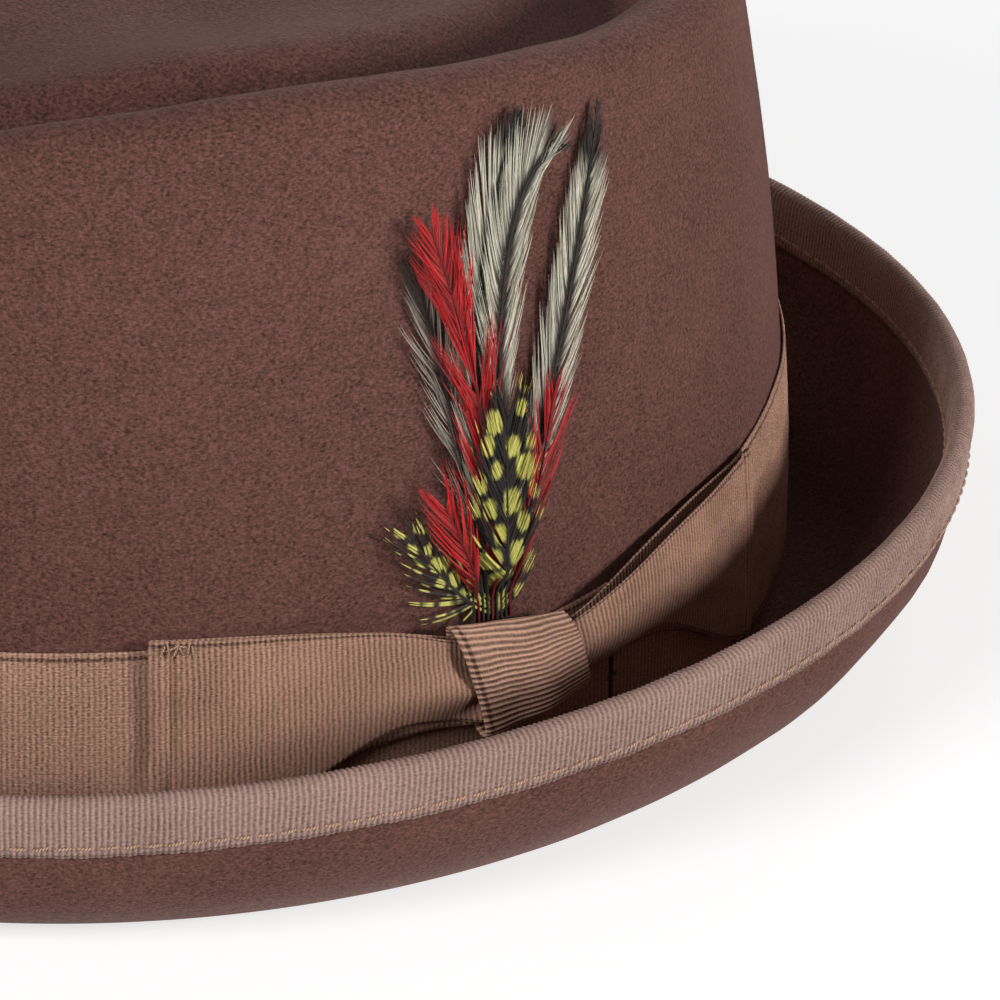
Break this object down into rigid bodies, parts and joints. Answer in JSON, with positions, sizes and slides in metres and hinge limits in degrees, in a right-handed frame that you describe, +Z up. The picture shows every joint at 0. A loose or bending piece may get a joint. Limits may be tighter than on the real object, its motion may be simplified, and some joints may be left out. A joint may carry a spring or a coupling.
{
  "type": "felt hat",
  "caption": "Short-brimmed brown felt hat with a telescope crown, curled bound brim, ribbed ribbon band and bow, and a removable feather trim.",
  "frame": {"origin": "centre of the head opening, on the flat foot of the brim that the hat stands on", "axes": "+Z up, -Y towards the wearer's front, +X towards the wearer's left, where the bow and feathers are"},
  "size_m": [0.243, 0.2556, 0.1166],
  "materials": {
    "wool_felt": "soft brushed wool felt",
    "binding_grosgrain": "fine ribbed ribbon",
    "band_grosgrain": "fine ribbed ribbon",
    "bow_grosgrain": "fine ribbed ribbon",
    "seam_thread": "twisted thread",
    "tack_thread": "twisted thread",
    "stem_thread": "waxed thread",
    "feather_quill": "bare quill",
    "guinea_feather": "spotted feather",
    "dark_feather": "barred feather",
    "red_feather": "dyed feather",
    "badger_feather": "pale feather with a dark centre",
    "sweatband_leather": "smooth leather",
    "reed_plastic": "matt",
    "inner_ribbon": "satin ribbon",
    "lining_satin": "satin",
    "lining_cord": "covered cord"
  },
  "bodies": {
    "hat": {"felt_crown": "wool_felt", "felt_tip": "wool_felt", "felt_brim": "wool_felt", "brim_binding": "binding_grosgrain", "binding_thread": "seam_thread", "hatband": "band_grosgrain", "hatband_stitches": "tack_thread", "bow_front_loop": "bow_grosgrain", "bow_rear_loop": "bow_grosgrain", "bow_knot": "bow_grosgrain", "bow_tacks": "tack_thread", "bow_end_stitches": "tack_thread", "sweatband": "sweatband_leather", "sweatband_reed": "reed_plastic", "sweatband_thread": "seam_thread", "sweatband_bow": "inner_ribbon", "lining_side": "lining_satin", "lining_cord": "lining_cord", "lining_tip": "lining_satin"},
    "feather_trim": {"feather_stem": "feather_quill", "feather_wrap": "stem_thread", "guinea_feather_side": "guinea_feather", "dark_hackle": "dark_feather", "red_hackle_lower": "red_feather", "red_hackle_upper": "red_feather", "badger_hackle_left": "badger_feather", "guinea_feather_front": "guinea_feather", "badger_hackle_middle": "badger_feather", "badger_hackle_right": "badger_feather", "red_hackle_rear": "red_feather"}
  },
  "joints": [
    {"name": "feather_trim_slide", "type": "slide", "parent": "hat", "child": "feather_trim", "axis": [-0.0494, 0.0575, 0.9971], "range_m": [0, 0.04]}
  ]
}
